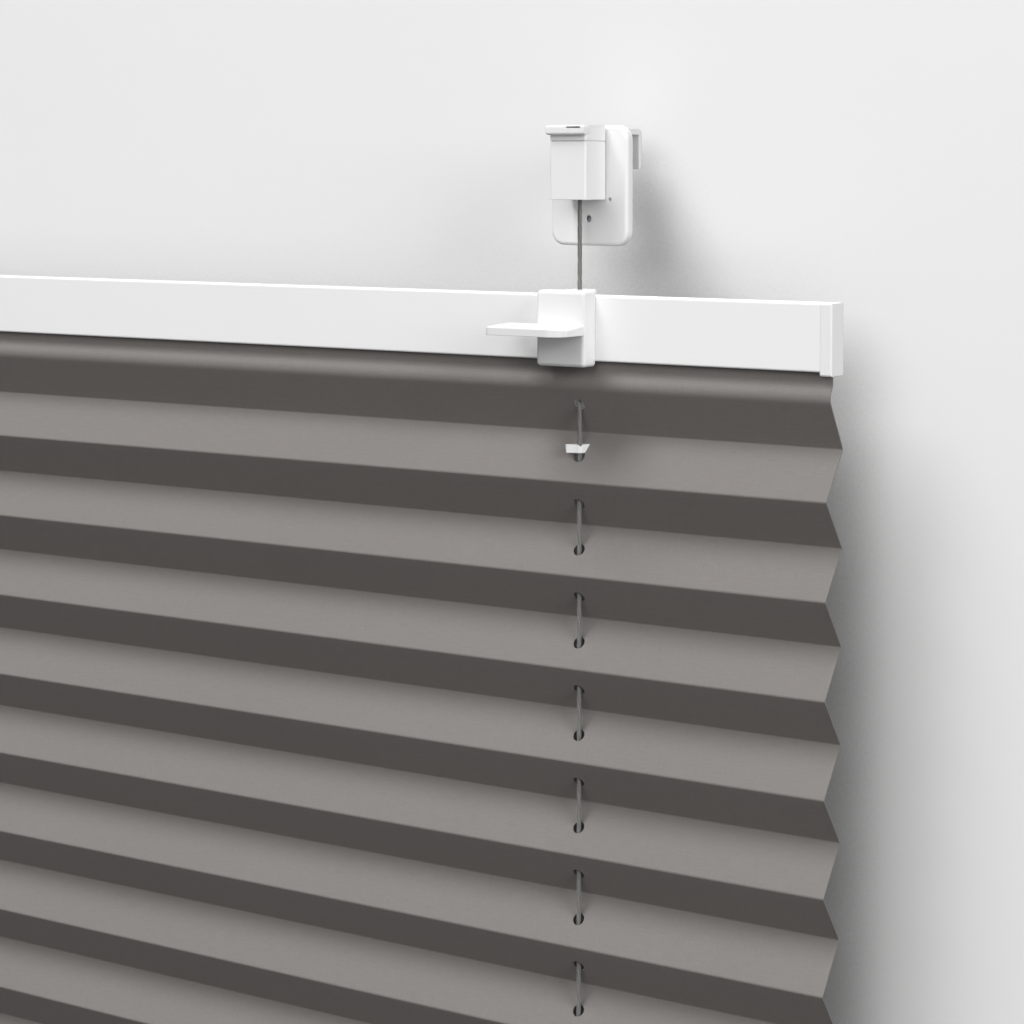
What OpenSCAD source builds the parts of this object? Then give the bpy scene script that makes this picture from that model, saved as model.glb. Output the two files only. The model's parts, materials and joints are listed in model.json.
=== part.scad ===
// Pleated blind that clamps onto a window sash, with two rails that slide on tension cords.
// X runs along the rails, the front faces -Y and +Z is up.
// Y = 0 is the face of the sash, X = 0 the middle of the width and Z = 0 half way up.

/* [Fabric] */
// Width of the pleated fabric
fabric_w = 760; // [520:10:1200]
// Number of whole pleats between the rails
pleats = 11; // [6:1:20]
// Height of one whole pleat as it hangs
pleat_pitch = 32.6; // [28:0.2:36]
// Depth of the pleats, from front fold to back fold
pleat_depth = 11.6; // [9:0.2:14]
// Thickness of the fabric
fabric_t = 0.4; // [0.3:0.05:0.6]
// Radius of a pressed fold, at the middle of the fabric
fold_r = 0.7; // [0.5:0.1:1.2]
// Radius of the soft bend under each rail
bend_r = 5; // [2:0.5:6]
// Height from a rail to where the pleating starts
lead_in = 9.4; // [8:0.2:14]
// How far the first bend stands forward of the slot in the rail
bend_lean = 3.8; // [3:0.1:4]
// Diameter of the holes punched for the cords
punch_d = 4.4; // [4.4:0.1:5.4]

/* [Cords] */
// Diameter of the tension cords
cord_d = 1.6; // [1.2:0.1:2]
// Distance of each cord from the end of the fabric
cord_inset = 98.5; // [60:0.5:160]
// Distance of the cords from the face of the sash
stand_off = 10.2; // [9.8:0.1:14]
// Length of bare cord between a shoe and its rail
cord_gap = 32.8; // [20:0.2:60]
// Diameter of the knot at each end of a cord
knot_d = 3.8; // [3:0.1:4.4]

/* [Cord clips] */
// Width of the clip across its two wings
clip_w = 9.2; // [8:0.2:12]
// Height of the clip
clip_h = 3.4; // [2.6:0.1:4]
// Thickness of the clip's wings
clip_t = 1.5; // [1.2:0.1:2]
// Wall of the clip round the cord
clip_wall = 0.8; // [0.6:0.1:1.2]
// Angle at which the wings sweep back
clip_sweep = 14; // [0:1:20]
// Height of the clip above the punched hole that it sits over
clip_lift = 2.9; // [2:0.1:3.4]

/* [Rails] */
// Height of the rail
rail_h = 22.5; // [20:0.5:28]
// Depth of the rail
rail_d = 8.7; // [8.4:0.1:10]
// Wall of the rail
rail_wall = 1.1; // [0.9:0.1:1.2]
// Radius of the rail's outer corners
rail_r = 0.6; // [0.3:0.1:0.8]
// Height of the fabric chamber, from the rail's underside to its inner web
chamber_h = 7.4; // [6.6:0.2:9]
// Width of the fabric slot in the rail's underside
slot_w = 1.1; // [0.9:0.1:1.2]
// Distance of that slot behind the rail's front wall
slot_back = 1; // [0.6:0.1:1.4]
// Diameter of the cord holes through the rail and the handle
pass_d = 3; // [2.6:0.1:3.2]
// How far the fabric's edge in the chamber is trimmed back from the rail's end
tongue_trim = 1; // [0.5:0.5:4]
// Height of the strip that holds the fabric in its chamber
strip_h = 3.6; // [2.4:0.2:4.4]
// Length of the cord guide inside the rail
guide_w = 14; // [10:0.5:20]
// Depth of the funnel at each end of the guide's bore
funnel_h = 1.2; // [0.6:0.1:2]

/* [End caps] */
// Thickness of the end cap's plate
cap_t = 4.2; // [2.5:0.1:6]
// How far the cap stands past the end of the fabric
cap_over = 0.8; // [0.4:0.1:2]
// How far the cap reaches below the rail
cap_lip = 1.2; // [0.6:0.1:2]
// Length of the cap's plug inside the rail
plug_l = 12; // [6:0.5:20]
// Wall of the cap's hollow plug
plug_wall = 1.2; // [0.8:0.1:1.8]

/* [Handles] */
// Width of the handle
handle_w = 19.4; // [16:0.2:26]
// Distance of the handle's middle from the cord, towards the middle of the blind
handle_shift = 0.6; // [0:0.1:2]
// How far the handle stands out in front of the rail
handle_proud = 7; // [6:0.2:12]
// Thickness of the handle's lips over and under the rail
handle_lip = 2.2; // [1.6:0.1:2.6]
// Width of those lips, which snap over the rail behind the handle
snap_w = 9; // [7:0.5:12]
// Wall of the handle's hollow front
handle_wall = 1.8; // [1.2:0.1:2.4]
// Radius of the handle's edges
handle_r = 1.5; // [0.6:0.1:1.6]
// Size of the bead that snaps behind the rail
bead = 0.8; // [0.5:0.1:1]
// How far the finger tab stands out in front of the handle
tab_d = 16; // [12:0.5:20]
// How far the finger tab reaches past the side of the handle
tab_reach = 10.8; // [6:0.2:16]
// Thickness of the finger tab at its root
tab_t = 5.2; // [4:0.1:6]
// Thickness of the finger tab at its front edge
tab_tip = 3.1; // [2.4:0.1:4]
// Height of the tab's underside, from the middle of the rail
tab_z = -2.6; // [-6:0.1:0]
// Radius of the tab's corner on the handle's side
tab_corner = 6; // [3:0.5:8]
// Radius of the tab's corners at its free end
tab_end_r = 2.2; // [1.6:0.2:4]
// Width of the bevel round the tab's upper edge
tab_edge = 0.5; // [0.2:0.1:1]

/* [Cord shoes] */
// Width of the shoe
shoe_w = 14.8; // [13.2:0.2:18]
// Depth of the shoe
shoe_d = 13; // [12:0.2:16]
// Height of the shoe below its cap
shoe_h = 20.2; // [16:0.2:26]
// Radius of the shoe's edges
shoe_r = 0.8; // [0.4:0.1:1.2]
// Thickness of the shoe's floor
shoe_floor = 3; // [2:0.2:5]
// Gap between the shoe and the clamp's plate
shoe_gap = 0.5; // [0.3:0.1:1]
// Height of the shoe's cap
lid_h = 5.3; // [4.4:0.1:7]
// Width of the lip across the front of the cap
lip_w = 15.6; // [14.6:0.2:19]
// Height of that lip
lip_h = 3.3; // [2.8:0.1:3.8]
// How far that lip stands out in front of the shoe
lip_out = 1.9; // [1:0.1:3]
// Width of the release slit in the lip
slit_w = 5.8; // [4:0.2:6]
// Height of the release slit
slit_h = 0.6; // [0.4:0.1:0.9]
// Sideways distance of the slit from the cord
slit_x = 3.3; // [2:0.1:3.6]

/* [Clamps] */
// Width of the clamp's plate
plate_w = 31.4; // [26:0.2:40]
// How far the plate stands above the shoe's cap
plate_above = 0.1; // [0:0.1:6]
// Thickness of the clamp's plate
plate_t = 3.6; // [3.2:0.1:5]
// Radius of the plate's corners
plate_r = 5; // [3:0.5:8]
// Radius of the plate's front edge
plate_edge = 1.3; // [0.6:0.1:1.6]
// How far the plate reaches below the shoe
plate_below = 16; // [14:0.2:22]
// Gap between the plate and the sash that the pad takes up
pad_gap = 1; // [0.8:0.1:1.4]
// Width of the strap over the sash
strap_w = 18; // [12:0.5:26]
// Thickness of the strap and the hook
strap_t = 2; // [1.6:0.1:3]
// Distance of the strap's underside below the plate's upper edge
strap_drop = 3.1; // [2.6:0.1:6]
// Thickness of sash that the clamp takes
sash_gap = 14; // [10:0.5:24]
// Length of the hook behind the sash
hook_h = 12; // [8:0.5:16]
// Height of the clamping screw above the plate's lower edge
screw_z = 9.3; // [8.4:0.1:10.4]
// Diameter of the clamping screw
screw_d = 3.9; // [3:0.1:4.9]
// Length of the clamping screw
screw_l = 2; // [1.6:0.1:2.2]
// Size of the hexagon socket across its flats
socket_af = 2; // [1.5:0.1:2]
// Diameter of the access hole in front of the screw
access_d = 2.4; // [2.3:0.1:2.8]
// Width of the pressure pad
pad_w = 19.4; // [14:0.2:24]
// Height of the pressure pad
pad_h = 11.4; // [9:0.2:12]
// Thickness of the pressure pad
pad_t = 1.4; // [1.2:0.1:1.6]
// Radius of the pressure pad's corners
pad_r = 1; // [0.5:0.1:2]
// Width and depth of the grooves in the pressure pad
groove = 0.4; // [0.2:0.1:0.6]
// Travel of the pad back into its pocket
pad_back = 0.4; // [0.2:0.1:0.5]
// Width of the rib that the shoe hangs on
rib_w = 5; // [4:0.2:6]
// Width of the head of that rib
rib_head = 9; // [8:0.2:10]
// Thickness of the head of that rib
rib_head_t = 1.2; // [0.9:0.1:1.3]
// Depth of the rib's neck inside the shoe
rib_neck = 1.3; // [0.9:0.1:1.4]
// Diameter of the release hole beside the shoe
release_d = 1.3; // [0.8:0.1:1.6]

/* [Hidden] */
$fn = 48;
hull_fn = 20;    // facets of the rounded edges
bend_steps = 5;  // points along each fold
edge_steps = 4;  // steps round a moulded edge
sliver = 0.01;   // thickness of the slices that a hull joins
past = 1;        // how far a cut runs past the face that it opens
seat = 0.1;      // clearance of pieces that seat in one another
loose = 0.3;     // clearance of pieces that pass one another freely
running = 0.1;   // clearance of the cords in their guides and clips
thread = 0.05;   // clearance of the clamping screw

white = [0.93, 0.93, 0.92];
taupe = [0.56, 0.54, 0.52];

// Levels of the upper half, which the lower half mirrors
cord_y = -stand_off;
cord_x = fabric_w / 2 - cord_inset;
rail_z = pleats * pleat_pitch / 2 + lead_in;  // underside of the top rail
fold_z = rail_z - lead_in;
shoe_z = rail_z + rail_h + cord_gap;          // underside of the top shoes
plate_z = shoe_z - plate_below;               // lower edge of the top plates
plate_h = plate_below + shoe_h + lid_h + plate_above;
strap_z = plate_z + plate_h - strap_drop;     // edge of the sash under the strap

// Across the rail, with the cord at y = 0
rail_front = -rail_d / 2;
rail_inner = rail_d / 2 - rail_wall;
rail_w = fabric_w + 2 * cap_over - 2 * cap_t;
tongue_y = slot_back - rail_inner + slot_w / 2;
tongue_z = chamber_h - 2 * seat;
tongue_w = rail_w - 2 * tongue_trim;

// Across the fabric
front_y = cord_y - pleat_depth / 2;
back_y = cord_y + pleat_depth / 2;
facet = norm([pleat_depth, pleat_pitch / 2]);
slot_y = cord_y + tongue_y;
first_y = slot_y - bend_lean;
first_back_z = fold_z - pleat_pitch / 2;
first_z = first_back_z + sqrt(pow(facet, 2) - pow(back_y - first_y, 2));
notch_z = rail_z - cap_lip - loose;           // the fabric has its full width below here

// Across the clamp and the shoe
plate_front = -pad_gap - plate_t;
shoe_back = plate_front - shoe_gap;
shoe_front = shoe_back - shoe_d;
rib_back = shoe_back - rib_neck;              // where the rib's head starts
rib_front = rib_back - rib_head_t;
cavity_r = knot_d / 2 + loose;
pocket_y = -pad_t - pad_back;                 // floor of the pad's pocket
bore_front = pocket_y - screw_l;              // where the access hole starts

// Unit vector, and a vector turned by an angle
function unit(v) = v / norm(v);
function turned(v, a) = [v.x * cos(a) - v.y * sin(a), v.x * sin(a) + v.y * cos(a)];

// Points round the corner b of the path a, b, c, at a distance off to the left of it
function corner_points(a, b, c, r, off) =
    let (u = unit(b - a), w = unit(c - b),
         side = u.x * w.y - u.y * w.x < 0 ? -1 : 1,
         turn = acos(u * w),
         centre = b - u * r * tan(turn / 2) + turned(u, 90) * side * r,
         spoke = -turned(u, 90) * side)
    [for (i = [0 : bend_steps - 1])
        centre + turned(spoke, side * turn * i / (bend_steps - 1)) * (r - side * off)];

// One side of a wall along a path whose corners have the radii r
function wall_side(path, r, off) = let (last = len(path) - 1)
    concat(
        [path[0] + turned(unit(path[1] - path[0]), 90) * off],
        [for (i = [1 : last - 1]) each corner_points(path[i - 1], path[i], path[i + 1], r[i], off)],
        [path[last] + turned(unit(path[last] - path[last - 1]), 90) * off]);

function reversed(list) = [for (i = [len(list) - 1 : -1 : 0]) list[i]];
function below(path) = [for (p = reversed(path)) [p.x, -p.y]];

// The fabric's path, as points [y, z] from the top rail down to the bottom one
lead_path = [[slot_y, rail_z + tongue_z], [slot_y, rail_z], [first_y, first_z]];
pleat_path = [for (i = [1 : 2 * pleats - 1]) [i % 2 == 1 ? back_y : front_y, fold_z - i * pleat_pitch / 2]];
fabric_path = concat(lead_path, pleat_path, below(lead_path));
lead_radii = [for (p = lead_path) bend_r];
fabric_radii = concat(lead_radii, [for (p = pleat_path) fold_r], lead_radii);

// Where the cord goes through each facet, as [z, tilt of the facet's normal]
function crossing(a, b) = let (d = unit(b - a), t = (cord_y - a.x) / (b.x - a.x))
    [a.y + t * (b.y - a.y), atan2(-d.y, -d.x)];
crossings = [for (i = [len(lead_path) - 1 : len(fabric_path) - len(lead_path) - 1])
    crossing(fabric_path[i], fabric_path[i + 1])];
clip_facet = crossings[1];

// Places a piece of the upper right corner at one of the four corners
module corner(right, top) mirror([right ? 0 : 1, 0, 0]) mirror([0, 0, top ? 0 : 1]) children();
module at_cord() translate([cord_x, 0, 0]) children();

// Extrudes an outline [y, z] along X, or [x, z] along Y
module along_x(length) rotate([90, 0, 90]) linear_extrude(length, center = true) children();
module along_y(from, to) translate([0, to, 0]) rotate([90, 0, 0]) linear_extrude(to - from) children();

module rounded_rect(size, r) {
    translate([r, 0]) square([size.x - 2 * r, size.y]);
    translate([0, r]) square([size.x, size.y - 2 * r]);
    for (x = [r, size.x - r], y = [r, size.y - r]) translate([x, y]) circle(r);
}

// Block with all its edges rounded
module rounded_block(from, to, r) {
    hull()
        for (x = [from.x + r, to.x - r], y = [from.y + r, to.y - r], z = [from.z + r, to.z - r])
            translate([x, y, z]) sphere(r, $fn = hull_fn);
}

// Plate from z = 0 up to t with a rounded upper edge; corners are [x, y, radius]
module soft_plate(corners, t, edge) {
    hull()
        for (c = corners, i = [0 : edge_steps]) let (a = 90 * i / edge_steps)
            translate([c.x, c.y, i == 0 ? 0 : t - edge + edge * sin(a) - sliver])
                cylinder(i == 0 ? t - edge : sliver, r = c.z - edge * (1 - cos(a)), $fn = hull_fn);
}

module cord_hole(d, from, to) translate([0, cord_y, from]) cylinder(to - from, d = d);

module pleated_fabric() color(taupe) difference() {
    along_x(fabric_w)
        polygon(concat(wall_side(fabric_path, fabric_radii, fabric_t / 2),
                       reversed(wall_side(fabric_path, fabric_radii, -fabric_t / 2))));
    for (side = [-1, 1], c = crossings)
        translate([side * cord_x, cord_y, c[0]]) rotate([c[1], 0, 0])
            cylinder(punch_d, d = punch_d, center = true);
    for (right = [false, true], top = [false, true]) corner(right, top)
        translate([tongue_w / 2, slot_y - bend_r, notch_z])
            cube([fabric_w - tongue_w, 2 * bend_r, rail_z + tongue_z - notch_z + past]);
}

module cord() color("dimgray") {
    knot_z = shoe_z + shoe_floor + knot_d / 2 + seat;
    at_cord() {
        cord_hole(cord_d, -knot_z, knot_z);
        for (z = [-knot_z, knot_z]) translate([0, cord_y, z]) sphere(d = knot_d);
    }
}

// Little clip on the cord, bevelled to lie on the facet behind it
module cord_clip() color(white) {
    boss_r = cord_d / 2 + running + clip_wall;
    swept = clip_w / 2 * tan(clip_sweep);
    wing = [for (side = [-1, 1]) [clip_w / 2, swept + side * clip_t / 2]];
    middle = [0, boss_r];
    at_cord() translate([0, cord_y, clip_facet[0] + clip_lift - clip_h / 2]) difference() {
        linear_extrude(clip_h) difference() {
            union() {
                circle(boss_r);
                polygon(concat([-middle, wing[0], wing[1], middle],
                               [for (p = reversed(wing)) [-p.x, p.y]]));
            }
            circle(d = cord_d + 2 * running);
        }
        translate([0, 0, clip_h]) rotate([0, 45, 0])
            cube([clip_wall, 2 * boss_r + past, clip_wall] * sqrt(2), center = true);
        translate([0, 0, clip_h / 2 - clip_lift]) rotate([clip_facet[1], 0, 0])
            translate([-clip_w, -clip_w, fabric_t / 2 + seat - clip_w]) cube([2, 2, 1] * clip_w);
    }
}

// Extrusion with a cord chamber above and a fabric chamber below
module rail_section() translate([cord_y, rail_z]) difference() {
    translate([rail_front, 0]) rounded_rect([rail_d, rail_h], rail_r);
    translate([-rail_inner, chamber_h + rail_wall])
        square([2 * rail_inner, rail_h - chamber_h - 2 * rail_wall]);
    translate([-rail_inner, rail_wall]) square([2 * rail_inner, chamber_h - rail_wall]);
    translate([slot_back - rail_inner, -past]) square([slot_w, rail_wall + 2 * past]);
}

module rail() color(white) difference() {
    along_x(rail_w) rail_section();
    for (side = [-1, 1]) translate([side * cord_x, 0, 0])
        cord_hole(pass_d, rail_z - past, rail_z + rail_h + past);
}

module strip() color("gainsboro") difference() {
    strip_y = tongue_y + fabric_t / 2 + seat;
    along_x(rail_w) translate([cord_y + strip_y, rail_z + rail_wall])
        square([rail_inner - strip_y - seat, strip_h]);
    for (side = [-1, 1]) translate([side * cord_x, 0, 0])
        cord_hole(pass_d, rail_z, rail_z + chamber_h);
}

module guide() color("gainsboro") at_cord() {
    bottom = rail_z + chamber_h + rail_wall;
    top = rail_z + rail_h - rail_wall - seat;
    bore_d = cord_d + 2 * running;
    difference() {
        translate([-guide_w / 2, cord_y - rail_inner + seat, bottom])
            cube([guide_w, 2 * (rail_inner - seat), top - bottom]);
        cord_hole(bore_d, bottom - past, top + past);
        for (end = [[bottom, 0], [top, 180]]) translate([0, cord_y, end[0]]) rotate([end[1], 0, 0])
            cylinder(funnel_h, d1 = bore_d + 2 * funnel_h, d2 = bore_d);
    }
}

module cap() color(white) translate([rail_w / 2, cord_y, rail_z]) {
    plug_z = chamber_h + rail_wall + seat;
    plug = [plug_l, 2 * (rail_inner - seat), rail_h - rail_wall - seat - plug_z];
    intersection() {
        rotate([90, 0, 90]) linear_extrude(cap_t)
            translate([rail_front, -cap_lip]) rounded_rect([rail_d, rail_h + cap_lip], rail_r);
        translate([0, rail_front, -cap_lip]) linear_extrude(rail_h + cap_lip)
            translate([-rail_r, 0]) rounded_rect([cap_t + rail_r, rail_d], rail_r);
    }
    difference() {
        translate([-plug_l, seat - rail_inner, plug_z]) cube([plug_l + sliver, plug.y, plug.z]);
        translate([-plug_l - past, seat - rail_inner + plug_wall, plug_z + plug_wall])
            cube([plug_l + past, plug.y - 2 * plug_wall, plug.z - 2 * plug_wall]);
    }
}

// Handle that snaps over the rail, with a finger tab towards the middle of the blind
module handle() color(white) translate([cord_x - handle_shift, cord_y + rail_front, rail_z + rail_h / 2]) {
    half_h = rail_h / 2 + seat + handle_lip;
    difference() {
        union() {
            rounded_block([-handle_w / 2, -handle_proud, -half_h],
                          [handle_w / 2, handle_r, half_h], handle_r);
            rounded_block([-snap_w / 2, -handle_proud, -half_h],
                          [snap_w / 2, rail_d + seat + bead + handle_r, half_h], handle_r);
        }
        for (side = [-1, 1]) translate([side * (snap_w + handle_w) / 2, rail_d - seat, 0])
            cube([handle_w, 2 * rail_d, 2 * (half_h + past)], center = true);
        translate([-handle_w / 2, -seat, -rail_h / 2 - seat])
            cube([handle_w, rail_d + 2 * seat, rail_h + 2 * seat]);
        translate([-handle_w / 2, 0, bead - rail_h / 2 - seat])
            cube([handle_w, 2 * rail_d, rail_h + 2 * (seat - bead)]);
        translate([-handle_w / 2, rail_d + seat + bead, -half_h - past])
            cube([handle_w, rail_d, 2 * (half_h + past)]);
        translate([-handle_w / 2, rail_wall - loose, -half_h - past])
            cube([handle_w, 2 * rail_d, half_h]);
        translate([handle_wall - handle_w / 2, handle_wall - handle_proud, handle_wall - rail_h / 2])
            cube([handle_w - 2 * handle_wall, handle_proud, rail_h - 2 * handle_wall]);
        translate([handle_shift, rail_d / 2, 0]) cylinder(half_h + past, d = pass_d);
    }
    tab_left = -handle_w / 2 - tab_reach;
    tab_front = -handle_proud - tab_d;
    root_y = handle_wall / 2 - handle_proud - tab_end_r;
    translate([0, 0, tab_z]) hull() {
        tab_corner_post([handle_w / 2 - tab_corner, tab_front + tab_corner], tab_corner, tab_tip);
        tab_corner_post([tab_left + tab_end_r, tab_front + tab_end_r], tab_end_r, tab_tip);
        for (x = [handle_w / 2 - tab_end_r, tab_left + tab_end_r])
            tab_corner_post([x, root_y], tab_end_r, tab_t);
    }
}

// Corner of the finger tab, bevelled at the top
module tab_corner_post(at, r, t) translate(at) {
    cylinder(t - tab_edge, r = r, $fn = 2 * hull_fn);
    cylinder(t, r = r - tab_edge, $fn = 2 * hull_fn);
}

// Block that holds the cord's knot and hangs on the clamp's rib
module shoe() color(white) at_cord() translate([0, 0, shoe_z]) difference() {
    union() {
        linear_extrude(shoe_h - loose) translate([-shoe_w / 2, shoe_front])
            rounded_rect([shoe_w, shoe_d], shoe_r);
        linear_extrude(shoe_h) translate([loose - shoe_w / 2, shoe_front + loose])
            rounded_rect([shoe_w - 2 * loose, shoe_d - 2 * loose], shoe_r);
    }
    cord_hole(cord_d + 2 * loose, -past, shoe_h);
    cord_hole(2 * cavity_r, shoe_floor, shoe_h + past);
    translate([0, 0, -past]) rib_solid(shoe_h - shoe_floor + past, seat);
}

// T-shaped rib, standing on the plate and grown by a clearance
module rib_solid(length, grow) {
    translate([-rib_w / 2 - grow, rib_back - sliver, 0])
        cube([rib_w + 2 * grow, plate_front - rib_back + 2 * sliver, length]);
    translate([-rib_head / 2 - grow, rib_front - grow, 0])
        cube([rib_head + 2 * grow, rib_back - rib_front + 2 * grow, length]);
}

module shoe_cap() color(white) at_cord() translate([0, 0, shoe_z + shoe_h]) difference() {
    union() {
        intersection() {
            linear_extrude(lid_h) translate([-shoe_w / 2, shoe_front])
                rounded_rect([shoe_w, shoe_d], shoe_r);
            along_x(shoe_w) translate([shoe_front, -shoe_r])
                rounded_rect([shoe_d, lid_h + shoe_r], shoe_r);
        }
        intersection() {
            along_x(lip_w) translate([shoe_front - lip_out, lid_h - lip_h])
                rounded_rect([2 * lip_out, lip_h], shoe_r);
            along_y(shoe_front - lip_out, shoe_front + lip_out) translate([-lip_w / 2, lid_h - lip_h])
                rounded_rect([lip_w, lip_h], shoe_r);
        }
        cord_hole(2 * (cavity_r - seat), -shoe_floor / 2, sliver);
    }
    translate([slit_x - slit_w / 2, shoe_front - lip_out - past, lid_h - shoe_r - slit_h / 2])
        cube([slit_w, lip_out + past, slit_h]);
}

// Plate in front, strap over the sash and hook behind it
module clamp() color(white) at_cord() {
    screw_at = [0, 0, plate_z + screw_z];
    corner_x = plate_w / 2 - plate_r;
    difference() {
        translate([0, -pad_gap, plate_z]) rotate([90, 0, 0]) soft_plate([
            for (x = [-corner_x, corner_x], z = [plate_r, plate_h - plate_r]) [x, z, plate_r]],
            plate_t, plate_edge);
        translate(screw_at) {
            along_y(pocket_y, past) translate([-pad_w, -pad_h] / 2 - [seat, seat])
                square([pad_w + 2 * seat, pad_h + 2 * seat]);
            along_y(bore_front, 0) circle(d = screw_d + 2 * thread);
            along_y(plate_front - past, 0) circle(d = access_d);
        }
        translate([shoe_w / 2 + release_d, 0, shoe_z])
            along_y(plate_front - past, plate_front + plate_edge) circle(d = release_d);
    }
    translate([0, 0, shoe_z + release_d]) rib_solid(shoe_h - shoe_floor - release_d, 0);
    along_x(strap_w) strap_section();
}

// Strap and hook from the side, with a rounded back and tip
module strap_section() {
    back = sash_gap + strap_t;
    start = -pad_gap - plate_t / 2;
    difference() {
        translate([start - strap_t, strap_z - hook_h])
            rounded_rect([back - start + strap_t, hook_h + strap_t], strap_t);
        translate([start - 2 * strap_t, strap_z - 2 * hook_h])
            square([sash_gap - start + 2 * strap_t, 2 * hook_h]);
        translate([start - 2 * strap_t, strap_z - past]) square([2 * strap_t, strap_t + 2 * past]);
    }
}

module pad() color([0.2, 0.2, 0.2]) at_cord() translate([0, 0, plate_z + screw_z]) difference() {
    along_y(-pad_t, 0) translate([-pad_w, -pad_h] / 2) rounded_rect([pad_w, pad_h], pad_r);
    for (i = [-1 : 1]) translate([0, 0, i * pad_h / 4])
        along_y(-groove, past) square([pad_w + past, groove], center = true);
}

module screw() color("silver") at_cord() translate([0, 0, plate_z + screw_z]) difference() {
    along_y(-pad_t - screw_l, -pad_t) circle(d = screw_d);
    translate([0, -pad_t - screw_l, 0]) rotate([90, 0, 0])
        cylinder(screw_l, d = socket_af / cos(30), center = true, $fn = 6);
}

pleated_fabric();
corner(false, true) cord();  // cord_left
corner(true, true) cord();  // cord_right
corner(false, true) cord_clip();  // cord_clip_left
corner(true, true) cord_clip();  // cord_clip_right
rail();  // top_rail
corner(false, true) cap();  // top_cap_left
corner(true, true) cap();  // top_cap_right
corner(false, true) handle();  // top_handle_left
corner(true, true) handle();  // top_handle_right
corner(false, true) guide();  // top_guide_left
corner(true, true) guide();  // top_guide_right
strip();  // top_strip
corner(true, false) rail();  // bottom_rail
corner(false, false) cap();  // bottom_cap_left
corner(true, false) cap();  // bottom_cap_right
corner(false, false) handle();  // bottom_handle_left
corner(true, false) handle();  // bottom_handle_right
corner(false, false) guide();  // bottom_guide_left
corner(true, false) guide();  // bottom_guide_right
corner(true, false) strip();  // bottom_strip
corner(false, true) clamp();  // clamp_top_left
corner(true, true) clamp();  // clamp_top_right
corner(false, false) clamp();  // clamp_bottom_left
corner(true, false) clamp();  // clamp_bottom_right
corner(false, true) pad();  // pad_top_left
corner(true, true) pad();  // pad_top_right
corner(false, false) pad();  // pad_bottom_left
corner(true, false) pad();  // pad_bottom_right
corner(false, true) screw();  // screw_top_left
corner(true, true) screw();  // screw_top_right
corner(false, false) screw();  // screw_bottom_left
corner(true, false) screw();  // screw_bottom_right
corner(false, true) shoe();  // shoe_top_left
corner(true, true) shoe();  // shoe_top_right
corner(false, false) shoe();  // shoe_bottom_left
corner(true, false) shoe();  // shoe_bottom_right
corner(false, true) shoe_cap();  // shoe_cap_top_left
corner(true, true) shoe_cap();  // shoe_cap_top_right
corner(false, false) shoe_cap();  // shoe_cap_bottom_left
corner(true, false) shoe_cap();  // shoe_cap_bottom_right
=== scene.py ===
import json
import math

import bpy
import bmesh
from mathutils import Matrix, Vector, noise

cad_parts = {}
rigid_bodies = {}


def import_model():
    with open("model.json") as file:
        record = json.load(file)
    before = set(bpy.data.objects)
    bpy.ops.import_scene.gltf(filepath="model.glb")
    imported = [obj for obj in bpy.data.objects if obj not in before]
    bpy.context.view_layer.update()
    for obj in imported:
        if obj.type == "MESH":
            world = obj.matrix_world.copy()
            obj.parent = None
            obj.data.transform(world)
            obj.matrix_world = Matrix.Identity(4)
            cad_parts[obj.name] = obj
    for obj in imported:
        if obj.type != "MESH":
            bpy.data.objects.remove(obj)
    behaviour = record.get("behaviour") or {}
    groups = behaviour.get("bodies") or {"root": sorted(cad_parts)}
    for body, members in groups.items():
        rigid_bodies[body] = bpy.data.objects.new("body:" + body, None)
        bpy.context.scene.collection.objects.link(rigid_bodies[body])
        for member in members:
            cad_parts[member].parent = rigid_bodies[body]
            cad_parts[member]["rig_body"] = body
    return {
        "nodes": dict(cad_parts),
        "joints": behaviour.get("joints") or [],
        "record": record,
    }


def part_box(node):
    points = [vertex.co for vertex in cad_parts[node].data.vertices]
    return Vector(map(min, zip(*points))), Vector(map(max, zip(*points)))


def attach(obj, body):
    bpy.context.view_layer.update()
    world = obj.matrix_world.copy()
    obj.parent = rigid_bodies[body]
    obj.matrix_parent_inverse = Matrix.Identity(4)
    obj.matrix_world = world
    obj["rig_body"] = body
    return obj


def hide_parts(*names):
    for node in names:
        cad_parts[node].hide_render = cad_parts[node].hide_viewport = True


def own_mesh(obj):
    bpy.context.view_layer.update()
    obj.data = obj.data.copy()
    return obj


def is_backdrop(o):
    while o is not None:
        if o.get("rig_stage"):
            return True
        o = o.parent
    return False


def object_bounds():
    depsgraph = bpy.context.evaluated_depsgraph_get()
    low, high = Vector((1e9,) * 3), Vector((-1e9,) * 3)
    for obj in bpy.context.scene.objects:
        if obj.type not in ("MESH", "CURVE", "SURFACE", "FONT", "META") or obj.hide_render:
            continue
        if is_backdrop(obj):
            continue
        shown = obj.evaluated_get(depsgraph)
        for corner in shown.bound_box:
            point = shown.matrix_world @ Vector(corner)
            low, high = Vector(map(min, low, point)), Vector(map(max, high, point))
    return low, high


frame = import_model()
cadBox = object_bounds()
nodes = frame["nodes"]
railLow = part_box("top_rail")[0].z
fabricLow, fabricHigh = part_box("pleated_fabric")
cordLow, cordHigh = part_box("cord_right")
cordX, cordY = (cordLow.x + cordHigh.x) / 2, (cordLow.y + cordHigh.y) / 2
print("frame loaded:", len(nodes), "nodes")


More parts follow.
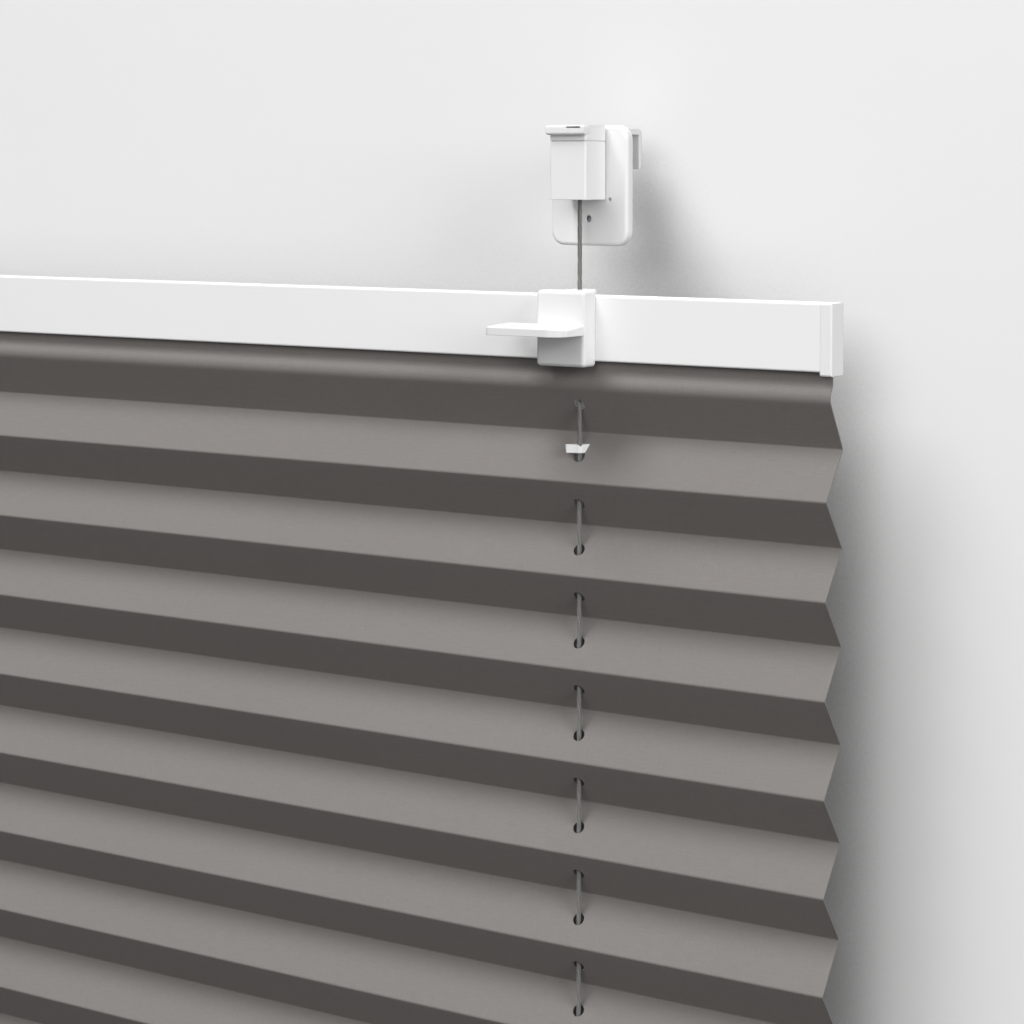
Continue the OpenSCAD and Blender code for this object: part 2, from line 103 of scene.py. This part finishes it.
# A shader socket that takes part in Python sums; each sum adds its Math node
class Wire:
    def __init__(self, finish, socket):
        self.finish, self.socket = finish, socket

    def math(self, operation, *values):
        return self.finish.node("ShaderNodeMath", {"operation": operation}, dict(enumerate(values)))

    def __add__(self, other): return self.math("ADD", self, other)
    def __radd__(self, other): return self.math("ADD", other, self)
    def __sub__(self, other): return self.math("SUBTRACT", self, other)
    def __rsub__(self, other): return self.math("SUBTRACT", other, self)
    def __mul__(self, other): return self.math("MULTIPLY", self, other)
    def __rmul__(self, other): return self.math("MULTIPLY", other, self)
    def __pow__(self, other): return self.math("POWER", self, other)
    def sine(self): return self.math("SINE", self)
    def size(self): return self.math("ABSOLUTE", self)


class Finish:
    def __init__(self, name, **fixed):
        self.material = bpy.data.materials.new(name)
        self.material.use_nodes = True
        self.tree = self.material.node_tree
        self.shader = self.tree.nodes["Principled BSDF"]
        for socketName, value in fixed.items():
            self.shader.inputs[socketName.replace("_", " ")].default_value = value

    # Any node: its settings come first, then the values or links of its sockets
    def node(self, kind, settings=None, sockets=None, out=0):
        made = self.tree.nodes.new(kind)
        for key, value in (settings or {}).items():
            if key == "stops":
                ramp = made.color_ramp
                while len(ramp.elements) < len(value):
                    ramp.elements.new(1)
                for element, (place, colour) in zip(ramp.elements, value):
                    element.position, element.color = place, (*colour, 1)
            else:
                setattr(made, key, value)
        for key, value in (sockets or {}).items():
            self.join(made.inputs[key], value)
        return Wire(self, made.outputs[out])

    def join(self, socket, value):
        if isinstance(value, Wire):
            self.tree.links.new(value.socket, socket)
        else:
            socket.default_value = value

    def feed(self, **sockets):
        for key, value in sockets.items():
            self.join(self.shader.inputs[key.replace("_", " ")], value)

    def place(self, stretch=(1, 1, 1)):
        where = self.node("ShaderNodeTexCoord", out="Object")
        return self.node("ShaderNodeMapping", {}, {"Vector": where, "Scale": stretch})

    def speckle(self, scale, detail=2.0, where=None, roughness=0.5):
        return self.node("ShaderNodeTexNoise", {}, {
            "Vector": where or self.place(), "Scale": scale, "Detail": detail, "Roughness": roughness})

    def blendColour(self, share, first, second):
        return self.node("ShaderNodeMix", {"data_type": "RGBA"}, {
            0: share, 6: (*first, 1), 7: (*second, 1)}, out=2)

    # Softened normal, and how sharply the surface turns at each point
    def softEdge(self, radius):
        soft = self.node("ShaderNodeBevel", {"samples": 6}, {"Radius": radius})
        plain = self.node("ShaderNodeNewGeometry", out="Normal")
        same = self.node("ShaderNodeVectorMath", {"operation": "DOT_PRODUCT"},
                         {0: soft, 1: plain}, out="Value")
        return soft, 1 - same

    # Shows from the front only
    def oneSided(self):
        behind = self.node("ShaderNodeNewGeometry", out="Backfacing")
        clear = self.node("ShaderNodeBsdfTransparent")
        front = Wire(self, self.shader.outputs[0])
        faced = self.node("ShaderNodeMixShader", {}, {0: behind, 1: front, 2: clear})
        self.join(self.tree.nodes["Material Output"].inputs["Surface"], faced)

    def relief(self, height, distance, normal=None, strength=1.0):
        sockets = {"Height": height, "Distance": distance, "Strength": strength}
        if normal:
            sockets["Normal"] = normal
        return self.node("ShaderNodeBump", {}, sockets)


def shade(value):
    value /= 255
    return value / 12.92 if value < 0.04045 else ((value + 0.055) / 1.055) ** 2.4


def tint(red, green, blue):
    return tuple(shade(v) for v in (red, green, blue))


# Matt grey pleating cloth; its map is the flat cut in metres, so the threads follow the folds
cloth = {"light": tint(131, 127, 124), "dark": tint(124, 120, 117), "thread": 0.00042, "relief": 0.000015,
         "slub": 0.006, "mottle": 9.0}


def pleatCloth():
    finish = Finish("pleatCloth", Sheen_Weight=0.03, Sheen_Roughness=0.5, Specular_IOR_Level=0.05)
    cut = finish.node("ShaderNodeUVMap", {"uv_map": "cut"})
    along = lambda u, v: finish.node("ShaderNodeMapping", {}, {"Vector": cut, "Scale": (u, v, 1)})
    turn = 1 / cloth["thread"]
    weft = finish.speckle(1.0, 3.0, along(1 / cloth["slub"], turn))
    warp = finish.speckle(1.0, 3.0, along(turn, 1 / cloth["slub"]))
    threads = along(math.pi * turn, math.pi * turn)
    wide, tall = (finish.node("ShaderNodeSeparateXYZ", {}, {"Vector": threads}, out=axis) for axis in "XY")
    weave = wide.sine().size() * 0.5 + tall.sine().size() * 0.5
    mottle = finish.speckle(cloth["mottle"], 4.0, along(1, 1))
    tone = weft * 0.45 + warp * 0.35 + mottle * 0.2
    finish.feed(Base_Color=finish.node("ShaderNodeValToRGB", {
        "stops": [(0.36, cloth["dark"]), (0.62, cloth["light"])]}, {"Fac": tone}))
    finish.feed(Roughness=0.82 + weft * 0.14,
                Normal=finish.relief(weave * 0.4 + weft * 0.4 + warp * 0.3, cloth["relief"], strength=0.7))
    return finish.material


# White powder coat: an even, slightly pebbled skin
coat = {"light": tint(245, 245, 245), "dark": tint(241, 241, 241), "pebble": 900.0, "relief": 0.00003}


def powderCoat():
    finish = Finish("powderCoat", Specular_IOR_Level=0.45)
    soft, edge = finish.softEdge(0.00035)
    pebble = finish.speckle(coat["pebble"], 2.0)
    cloud = finish.speckle(14.0, 3.0)
    finish.feed(Base_Color=finish.blendColour(cloud, coat["dark"], coat["light"]),
                Roughness=0.38 + pebble * 0.12 - edge * 0.1,
                Normal=finish.relief(pebble, coat["relief"], soft))
    return finish.material


# Moulded white plastic with a fine satin grain and softened edges
moulding = {"light": tint(239, 239, 239), "dark": tint(235, 235, 235),
            # The two handle whites are painted shade: the same moulding made darker to offset the strong
            # light falling on the handles
            "gripLight": tint(231, 231, 231), "gripDark": tint(227, 227, 227),
            "innerLight": tint(214, 214, 211), "innerDark": tint(200, 200, 197),
            "rough": 0.34, "innerRough": 0.42, "edge": 0.0004, "innerEdge": 0.0002,
            "grain": 2600.0, "relief": 0.000016}


def satinMoulding(name, light, dark, rough, edgeRadius):
    finish = Finish(name, Specular_IOR_Level=0.5)
    soft, edge = finish.softEdge(edgeRadius)
    grain = finish.speckle(moulding["grain"], 2.0)
    flow = finish.speckle(60.0, 3.0, finish.place((1, 1, 0.35)))
    finish.feed(Base_Color=finish.blendColour(flow, dark, light),
                Roughness=rough + grain * 0.14 - edge * 0.15,
                Normal=finish.relief(grain * 0.6 + flow * 0.8, moulding["relief"], soft))
    return finish.material


# Braided cord: light and dark strands cross over one another
braid = {"light": tint(132, 131, 128), "dark": tint(98, 97, 95), "fuzz": 5200.0, "relief": 0.00005}


def braidedYarn():
    finish = Finish("braidedYarn", Sheen_Weight=0.2, Specular_IOR_Level=0.25)
    strand = finish.node("ShaderNodeAttribute", {"attribute_name": "strand"}, out="Fac")
    fuzz = finish.speckle(braid["fuzz"], 3.0)
    tone = strand * 0.75 + fuzz * 0.35
    finish.feed(Base_Color=finish.blendColour(tone, braid["dark"], braid["light"]),
                Roughness=0.78 + fuzz * 0.18, Normal=finish.relief(fuzz, braid["relief"]))
    return finish.material


# Black ribbed rubber of the pressure pads
rubber = {"light": (0.030, 0.030, 0.031), "dark": (0.016, 0.016, 0.017)}


def padRubber():
    finish = Finish("padRubber", Specular_IOR_Level=0.35)
    soft, edge = finish.softEdge(0.0002)
    dust = finish.speckle(420.0, 4.0)
    finish.feed(Base_Color=finish.blendColour(dust * 0.8 + edge * 0.6, rubber["dark"], rubber["light"]),
                Roughness=0.68 + dust * 0.22, Normal=finish.relief(dust, 0.00004, soft))
    return finish.material


# Zinc plate on the clamping screws, turned on a lathe
zinc = {"light": (0.62, 0.62, 0.64), "dark": (0.44, 0.44, 0.46)}


def zincPlate():
    finish = Finish("zincPlate", Metallic=1.0)
    soft, edge = finish.softEdge(0.0001)
    turned = finish.speckle(900.0, 2.0, finish.place((0.1, 6.0, 0.1)))
    finish.feed(Base_Color=finish.blendColour(turned, zinc["dark"], zinc["light"]),
                Roughness=0.26 + turned * 0.2 - edge * 0.1, Normal=finish.relief(turned, 0.00002, soft))
    return finish.material


finishes = {
    "pleat_fabric": pleatCloth(),
    "cord": braidedYarn(),
    "white_rail": powderCoat(),
    "white_plastic": satinMoulding("satinMoulding", moulding["light"], moulding["dark"],
                                   moulding["rough"], moulding["edge"]),
    "inner_plastic": satinMoulding("innerMoulding", moulding["innerLight"], moulding["innerDark"],
                                   moulding["innerRough"], moulding["innerEdge"]),
    "pad_rubber": padRubber(),
    "screw_steel": zincPlate()}
# The handles take the darker copy of the white moulding, as painted shade against the bright light on their
# fronts
handleShadeFinish = satinMoulding("gripMoulding", moulding["gripLight"], moulding["gripDark"],
                           moulding["rough"], moulding["edge"])
slotOf = {row["node"]: row["material_slot"] for row in frame["record"]["subparts"]}
for node, solid in nodes.items():
    for place in solid.material_slots:
        place.material = handleShadeFinish if "handle" in node else finishes[slotOf[node]]
print("finishes:", len(finishes) + 1)


def applyModifiers(piece):
    bpy.context.view_layer.update()
    made = bpy.data.meshes.new_from_object(piece.evaluated_get(bpy.context.evaluated_depsgraph_get()))
    piece.modifiers.clear()
    piece.data = made


# Moulded pieces whose rounded edges show: a copy of the solid, shaded smooth up to its sharp edges
smoothed = {"prefixes": ("top_handle", "bottom_handle", "clamp_", "shoe_", "cord_clip", "top_cap",
                         "bottom_cap"), "sharpAngle": 30.0, "weld": 1e-6}
grip = {"rim": 0.0116, "trim": 0.00048, "tabHalf": 0.004, "tabBack": -0.018, "tabRoot": -0.0215,
        "tipLift": 0.0006, "rootDrop": 0.0013, "tabUnder": -0.001, "innerSide": 0.006, "widen": 0.0005}
hanging = {"turn": 45.0, "slim": 0.86, "sideways": 0.02, "tilt": (0.1, 0.98), "weld": 1e-7}


# The handle drawn a little slimmer, with a flatter finger tab
def shapeHandle(mesh, node):
    low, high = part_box(node)
    middle, up, inward = (low.z + high.z) / 2, math.copysign(1, low.z), -math.copysign(1, low.x)
    for vert in mesh.verts:
        above = (vert.co.z - middle) * up
        if abs(above) > grip["rim"]:
            above -= math.copysign(grip["trim"], above)
        elif abs(above) < grip["tabHalf"] and vert.co.y < grip["tabBack"]:
            share = min(1.0, max(0.0, (vert.co.y - grip["tabRoot"]) / (low.y - grip["tabRoot"])))
            root = -grip["rootDrop"] if above > grip["tabUnder"] else grip["tipLift"]
            above += root + (grip["tipLift"] - root) * share
        vert.co.z = middle + above * up
        if (abs(vert.co.x) - cordX) < -grip["innerSide"]:
            vert.co.x += inward * grip["widen"]


# The clip hangs loose on its cord, turned a little and cut off where it would go into the pleat behind it
def turnClip(mesh, node):
    low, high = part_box(node)
    side = math.copysign(1, low.x)
    middle = Vector((side * cordX, cordY, (low.z + high.z) / 2))
    turn = Matrix.Rotation(side * math.radians(hanging["turn"]), 3, "Z")
    turn = turn @ Matrix.Diagonal((1, 1, hanging["slim"]))
    least, most = hanging["tilt"]
    bevels = [face for face in mesh.faces
              if abs(face.normal.x) < hanging["sideways"] and least < abs(face.normal.z) < most]
    bevel = max(bevels, key=lambda face: face.calc_area())
    spot, facing = bevel.calc_center_median(), bevel.normal.copy()
    for vert in mesh.verts:
        vert.co = middle + turn @ (vert.co - middle)
    whole = mesh.verts[:] + mesh.edges[:] + mesh.faces[:]
    cut = bmesh.ops.bisect_plane(mesh, geom=whole, dist=hanging["weld"], plane_co=spot, plane_no=facing,
                                 clear_outer=True)
    rim = [part for part in cut["geom_cut"] if isinstance(part, bmesh.types.BMEdge)]
    bmesh.ops.triangle_fill(mesh, use_beauty=True, edges=rim)
    bmesh.ops.recalc_face_normals(mesh, faces=mesh.faces)
    loose = sum(1 for edge in mesh.edges if not edge.is_manifold)
    print("clip cut:", node, len(mesh.faces), "faces,", loose, "open edges")


def smoothMoulding(node):
    solid = nodes[node]
    words = node.split("_")
    piece = bpy.data.objects.new(words[0] + "".join(w.capitalize() for w in words[1:]), solid.data.copy())
    bpy.context.scene.collection.objects.link(piece)
    mesh = bmesh.new()
    mesh.from_mesh(piece.data)
    bmesh.ops.remove_doubles(mesh, verts=mesh.verts, dist=smoothed["weld"])
    for face in mesh.faces:
        face.smooth = True
    if "handle" in node:
        shapeHandle(mesh, node)
    elif "clip" in node:
        turnClip(mesh, node)
    mesh.to_mesh(piece.data)
    mesh.free()
    if "custom_normal" in piece.data.attributes:
        piece.data.attributes.remove(piece.data.attributes["custom_normal"])
    piece.data.set_sharp_from_angle(angle=math.radians(smoothed["sharpAngle"]))
    even = piece.modifiers.new("evenNormals", "WEIGHTED_NORMAL")
    even.mode, even.weight, even.keep_sharp = "FACE_AREA", 100, True
    applyModifiers(piece)
    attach(piece, solid["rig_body"])
    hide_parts(node)


for node in sorted(nodes):
    if node.startswith(smoothed["prefixes"]):
        smoothMoulding(node)
print("moulded pieces smoothed")


# The folded sheet, half of it at a time: an upper and a lower half, both fixed to the frame
pleating = {"pleats": 11, "pitch": 0.0326, "depth": 0.0116, "leadIn": 0.0094, "bendLean": 0.0025,
            "foldRadius": 0.0007, "bendRadius": 0.004, "slot": 0.0017, "drop": 0.0045, "tongue": 0.0072,
            "notch": 0.0015, "tongueTrim": 0.0044, "thickness": 0.0004, "punch": 0.0044, "foldSteps": 7,
            "columnStep": 0.02, "holeSquare": 0.0064, "holeSides": 24, "wander": 0.00014,
            "wanderLength": 0.07, "sharpAngle": 50.0, "near": 1e-6}


# Corner points [y, z] of the upper half, from inside the rail down to the fold at mid height and one facet on
def pleatCorners():
    p = pleating
    foldTop = railLow - p["leadIn"]
    front, back = cordY - p["depth"] / 2, cordY + p["depth"] / 2
    slotY = cordY - p["slot"]
    firstY = slotY - p["bendLean"]
    facet = math.hypot(p["depth"], p["pitch"] / 2)
    firstZ = foldTop - p["pitch"] / 2 + math.sqrt(facet ** 2 - (back - firstY) ** 2)
    corners = [(slotY, railLow + p["tongue"]), (slotY, railLow - p["drop"]), (firstY, firstZ)]
    for fold in range(1, p["pleats"] + 2):
        corners.append((back if fold % 2 else front, foldTop - fold * p["pitch"] / 2))
    return [Vector(c) for c in corners]


# Rows of the sheet: place [y, z], length along the cut, and whether a hole is punched after the row
def pleatRows():
    p, corners, rows = pleating, pleatCorners(), []
    half = p["holeSquare"] / 2
    leaving = corners[0]
    for i in range(1, len(corners) - 1):
        before, at, after = corners[i - 1], corners[i], corners[i + 1]
        into, out = (at - before).normalized(), (after - at).normalized()
        turn = into.angle_signed(out)
        radius = p["bendRadius"] if i < 3 else p["foldRadius"]
        reach = radius * math.tan(abs(turn) / 2)
        arriving = at - into * reach
        run = (arriving - leaving).length
        punched = i > 2
        rows.append((leaving, False))
        if punched:
            share = (cordY - leaving.x) / (arriving.x - leaving.x)
            low, high = share - half / run, share + half / run
            rows += [(leaving.lerp(arriving, low / 2), False), (leaving.lerp(arriving, low), True),
                     (leaving.lerp(arriving, high), False), (leaving.lerp(arriving, (1 + high) / 2), False)]
        last = i == len(corners) - 2
        side = math.copysign(1, turn)
        centre = arriving + Vector((into.y, -into.x)) * side * radius
        count = p["foldSteps"] // 2 + 1 if last else p["foldSteps"] - 1
        for step in range(count):
            angle = -turn * step / (p["foldSteps"] - 1)
            spoke = Matrix.Rotation(angle, 2) @ (arriving - centre)
            rows.append((centre + spoke, False))
        leaving = at + out * reach
    notchZ = railLow - p["notch"]
    cut = next(i for i in range(len(rows)) if rows[i + 1][0].y < notchZ)
    above, below = rows[cut][0], rows[cut + 1][0]
    rows.insert(cut + 1, (above.lerp(below, (above.y - notchZ) / (above.y - below.y)), False))
    return rows


def sheetColumns():
    p, width = pleating, fabricHigh.x - fabricLow.x
    half = p["holeSquare"] / 2
    count = round(width / p["columnStep"])
    fixed = [s * x for s in (-1, 1) for x in (cordX - half, cordX + half, width / 2 - p["tongueTrim"])]
    loose = [fabricLow.x + width * i / count for i in range(count + 1)]
    return sorted(fixed + [x for x in loose if abs(x) == width / 2 or
                           all(abs(x - f) > p["columnStep"] / 3 for f in fixed)])


def pleatedHalf(name, joint, upward):
    p, rows, columns = pleating, pleatRows(), sheetColumns()
    mesh = bmesh.new()
    notchZ, edge = railLow - p["notch"], columns[-1] - p["tongueTrim"]
    grid, flat, length = [], {}, 0.0
    ripple = lambda *spot: p["wander"] * noise.noise(Vector((*spot, upward)) / p["wanderLength"])
    for i, (place, punched) in enumerate(rows):
        if i:
            length += (place - rows[i - 1][0]).length
        line = []
        for x in columns:
            vert = mesh.verts.new((x, place.x + ripple(x, length), upward * place.y))
            flat[vert] = (x, upward * length)
            line.append(vert)
        grid.append((line, place, length, punched))

    def fill(*corner):
        mesh.faces.new(corner if upward < 0 else corner[::-1])

    for (line, place, start, punched), (below, under, end, _) in zip(grid, grid[1:]):
        for j in range(len(columns) - 1):
            middle = (columns[j] + columns[j + 1]) / 2
            if place.y > notchZ + p["near"] and abs(middle) > edge:
                continue
            square = [line[j], line[j + 1], below[j + 1], below[j]]
            if not (punched and abs(abs(middle) - cordX) < p["near"]):
                fill(*square)
                continue
            hole = []
            for k in range(p["holeSides"]):
                angle = math.radians(135) - k * math.tau / p["holeSides"]
                x, along = middle + p["punch"] / 2 * math.cos(angle), p["punch"] / 2 * math.sin(angle)
                share = 0.5 - along / (end - start)
                spot = place.lerp(under, share)
                vert = mesh.verts.new((x, spot.x, upward * spot.y))
                flat[vert] = (x, upward * (start + share * (end - start)))
                hole.append(vert)
            quarter = p["holeSides"] // 4
            onRim = lambda k: hole[k % len(hole)]
            for k in range(4):
                for step in range(-(quarter // 2), quarter - quarter // 2):
                    fill(square[k], onRim(k * quarter + step + 1), onRim(k * quarter + step))
                fill(square[k], square[(k + 1) % 4], onRim(k * quarter + quarter - quarter // 2))
    bmesh.ops.delete(mesh, geom=[v for v in mesh.verts if not v.link_faces], context="VERTS")
    cut = mesh.loops.layers.uv.new("cut")
    for face in mesh.faces:
        face.smooth = True
        for loop in face.loops:
            loop[cut].uv = flat[loop.vert]
    data = bpy.data.meshes.new(name)
    mesh.to_mesh(data)
    mesh.free()
    piece = bpy.data.objects.new(name, data)
    bpy.context.scene.collection.objects.link(piece)
    wall = piece.modifiers.new("thickness", "SOLIDIFY")
    wall.thickness, wall.offset, wall.use_even_offset = p["thickness"], 0.0, True
    applyModifiers(piece)
    piece.data.materials.append(finishes["pleat_fabric"])
    piece.data.set_sharp_from_angle(angle=math.radians(p["sharpAngle"]))
    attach(piece, "frame")
    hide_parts("pleated_fabric")
    columns[-1] - columns[0]
    reach = next(j["range_m"][1] for j in frame["joints"] if j["name"] == joint)
    1 - reach / railLow
    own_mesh(piece)
    print(name, "rows", len(rows), "columns", len(columns), "length", round(length, 4))


pleatedHalf("fabricUpper", "upper_rail_slide", 1)
pleatedHalf("fabricLower", "lower_rail_slide", -1)


# Braided cord with its strands raised, and a knot at each end inside the shoes
cordage = {"diameter": 0.0016, "ringStep": 0.00045, "sides": 14, "strands": 4, "lay": 0.0062,
           "raise": 0.00009, "knot": 0.0019, "knotLength": 0.0034, "thinnest": 0.0001, "pathSteps": 30}


def braidedCord(name, node):
    c = cordage
    low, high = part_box(node)
    x, y = (low.x + high.x) / 2, (low.y + high.y) / 2
    count = round((high.z - low.z) / c["ringStep"])
    mesh = bmesh.new()
    strand = mesh.verts.layers.float.new("strand")
    lines = []
    for i in range(count + 1):
        z = low.z + (high.z - low.z) * i / count
        fromEnd = min(z - low.z, high.z - z)
        bulge = math.sqrt(max(0.0, 1 - (2 * fromEnd / c["knotLength"] - 1) ** 2)) * c["knot"]
        line = []
        for k in range(c["sides"]):
            angle = math.tau * k / c["sides"]
            twist = math.tau * z / c["lay"]
            crossing = max(math.cos(c["strands"] * angle + twist), math.cos(c["strands"] * angle - twist))
            radius = max(c["diameter"] / 2 - c["raise"] * (1 - crossing), bulge, c["thinnest"])
            vert = mesh.verts.new((x + radius * math.cos(angle), y + radius * math.sin(angle), z))
            vert[strand] = 0.5 + 0.5 * math.cos(c["strands"] * angle + twist)
            line.append(vert)
        lines.append(line)
    for line, above in zip(lines, lines[1:]):
        for k in range(c["sides"]):
            n = (k + 1) % c["sides"]
            mesh.faces.new((line[k], line[n], above[n], above[k])).smooth = True
    mesh.faces.new(lines[0][::-1])
    mesh.faces.new(lines[-1])
    data = bpy.data.meshes.new(name)
    mesh.to_mesh(data)
    mesh.free()
    data.materials.append(finishes["cord"])
    piece = bpy.data.objects.new(name, data)
    bpy.context.scene.collection.objects.link(piece)
    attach(piece, "frame")
    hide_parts(node)
    print(name, "rings", count + 1)


braidedCord("cordLeft", "cord_left")
braidedCord("cordRight", "cord_right")


# Camera at the photograph's place
eye = {"place": (0.7570, -0.7540, 0.2551), "heading": 34.11, "pitch": 3.36, "lens": 89.87, "shiftY": -0.19,
       "sensor": 36.0, "reach": (0.02, 30.0)}


def setCamera():
    data = bpy.data.cameras.new("eye")
    data.sensor_width, data.lens, data.shift_y = eye["sensor"], eye["lens"], eye["shiftY"]
    data.clip_start, data.clip_end = eye["reach"]
    camera = bpy.data.objects.new("eye", data)
    camera.location = eye["place"]
    camera.rotation_euler = (math.radians(90 - eye["pitch"]), 0, math.radians(eye["heading"]))
    bpy.context.scene.collection.objects.link(camera)
    bpy.context.scene.camera = camera


# Overhead glow and broad lamps: the main one high at the front left, others at the right, in front and behind
studio = {"aim": (0.15, 0.0, 0.1), "sky": 0.7, "skyPower": 0.9, "skyEven": 0.55, "skyFront": 0.45,
          "seen": 0.96, "rough": 0.9,
          "lamps": {"keyLamp": {"place": (-0.55, -1.22, 2.74), "size": 1.4, "watts": 67.0},
                    "sideLamp": {"place": (2.6, -0.75, 0.9), "size": 1.5, "watts": 42.0},
                    "fillLamp": {"place": (0.6, -2.55, 1.6), "size": 2.0, "watts": 23.0},
                    "rearLamp": {"place": (-0.6, 2.8, 0.75), "size": 1.6, "watts": 18.0}},
          "pale": tint(238, 238, 238), "floor": tint(205, 205, 205), "bounce": 0.22, "floorSize": 9.0,
          # The last keys set the backdrop: its gap behind the object, and the painted shade that turns it
          # near black close behind the blind
          "wallGap": 0.012, "nearness": 0.1, "openness": 2.2, "closed": 0.2, "hidden": (0.012, 0.012, 0.012)}


def addLamp(name, lampSettings):
    data = bpy.data.lights.new(name, "AREA")
    data.shape, data.size, data.energy = "DISK", lampSettings["size"], lampSettings["watts"]
    lamp = bpy.data.objects.new(name, data)
    lamp.location = lampSettings["place"]
    lamp.rotation_euler = (Vector(studio["aim"]) - lamp.location).to_track_quat("-Z", "Y").to_euler()
    bpy.context.scene.collection.objects.link(lamp)


# The surroundings: pale where seen, and bright overhead, dim at the horizon for the light they give
class Surroundings(Finish):
    def __init__(self, name):
        self.world = bpy.data.worlds.new(name)
        self.world.use_nodes = True
        self.tree = self.world.node_tree
        self.shader = self.tree.nodes["Background"]
        bpy.context.scene.world = self.world


def setSky():
    sky = Surroundings("surroundings")
    direction = sky.node("ShaderNodeTexCoord", out="Generated")
    height, depth = (sky.node("ShaderNodeSeparateXYZ", {}, {"Vector": direction}, out=axis) for axis in "ZY")
    overhead = height.math("MAXIMUM", height, 0.0) ** studio["skyPower"]
    overhead = overhead * (studio["skyEven"] - depth * studio["skyFront"])
    toEye, toGloss = (sky.node("ShaderNodeLightPath", out=n) for n in ("Is Camera Ray", "Is Glossy Ray"))
    seen = toEye.math("MAXIMUM", toEye, toGloss)
    sky.feed(Strength=seen * studio["seen"] + (1 - seen) * overhead * studio["sky"], Color=(1, 1, 1, 1))


def stagePlane(name, corners, finish):
    mesh = bmesh.new()
    mesh.faces.new([mesh.verts.new(c) for c in corners])
    data = bpy.data.meshes.new(name)
    mesh.to_mesh(data)
    mesh.free()
    data.materials.append(finish.material)
    plane = bpy.data.objects.new(name, data)
    bpy.context.scene.collection.objects.link(plane)
    plane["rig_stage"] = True
    return plane


def setStudio():
    s = studio
    for name, lampSettings in s["lamps"].items():
        addLamp(name, lampSettings)
    setSky()
    half, low, back = s["floorSize"] / 2, cadBox[0][2], cadBox[1][1] + s["wallGap"]
    floor = Finish("paleFloor", Roughness=s["rough"])
    seen = floor.node("ShaderNodeLightPath", out="Is Camera Ray")
    floor.feed(Base_Color=floor.blendColour(seen, tuple(s["bounce"] * v for v in s["floor"]), s["floor"]))
    square = ((-half, -half), (half, -half), (half, half), (-half, half))
    stagePlane("floor", [(x, y, low) for x, y in square], floor)
    # Backdrop: pale, with painted shade. An ambient-occlusion mask turns its colour near black where things
    # stand close in front of it (behind the blind, along its edges and round the clamps), so the punched
    # holes show dark
    wall = Finish("paleWall", Roughness=s["rough"])
    free = wall.node("ShaderNodeAmbientOcclusion", {"samples": 8}, {"Distance": s["nearness"]}, out="AO")
    wall.feed(Base_Color=wall.blendColour(free * s["openness"] - s["closed"], s["hidden"], s["pale"]))
    wall.oneSided()
    upright = [(x, back, max(z, low)) for x, z in square]
    backdrop = stagePlane("backdrop", upright, wall)
    backdrop.visible_diffuse = backdrop.visible_glossy = backdrop.visible_shadow = False


setCamera()
setStudio()
bpy.context.scene.view_settings.view_transform = "Standard"
print("camera and studio set")

plain = lambda box: [[float(v) for v in corner] for corner in box]
{"cad": plain(cadBox), "visual": plain(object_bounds())}
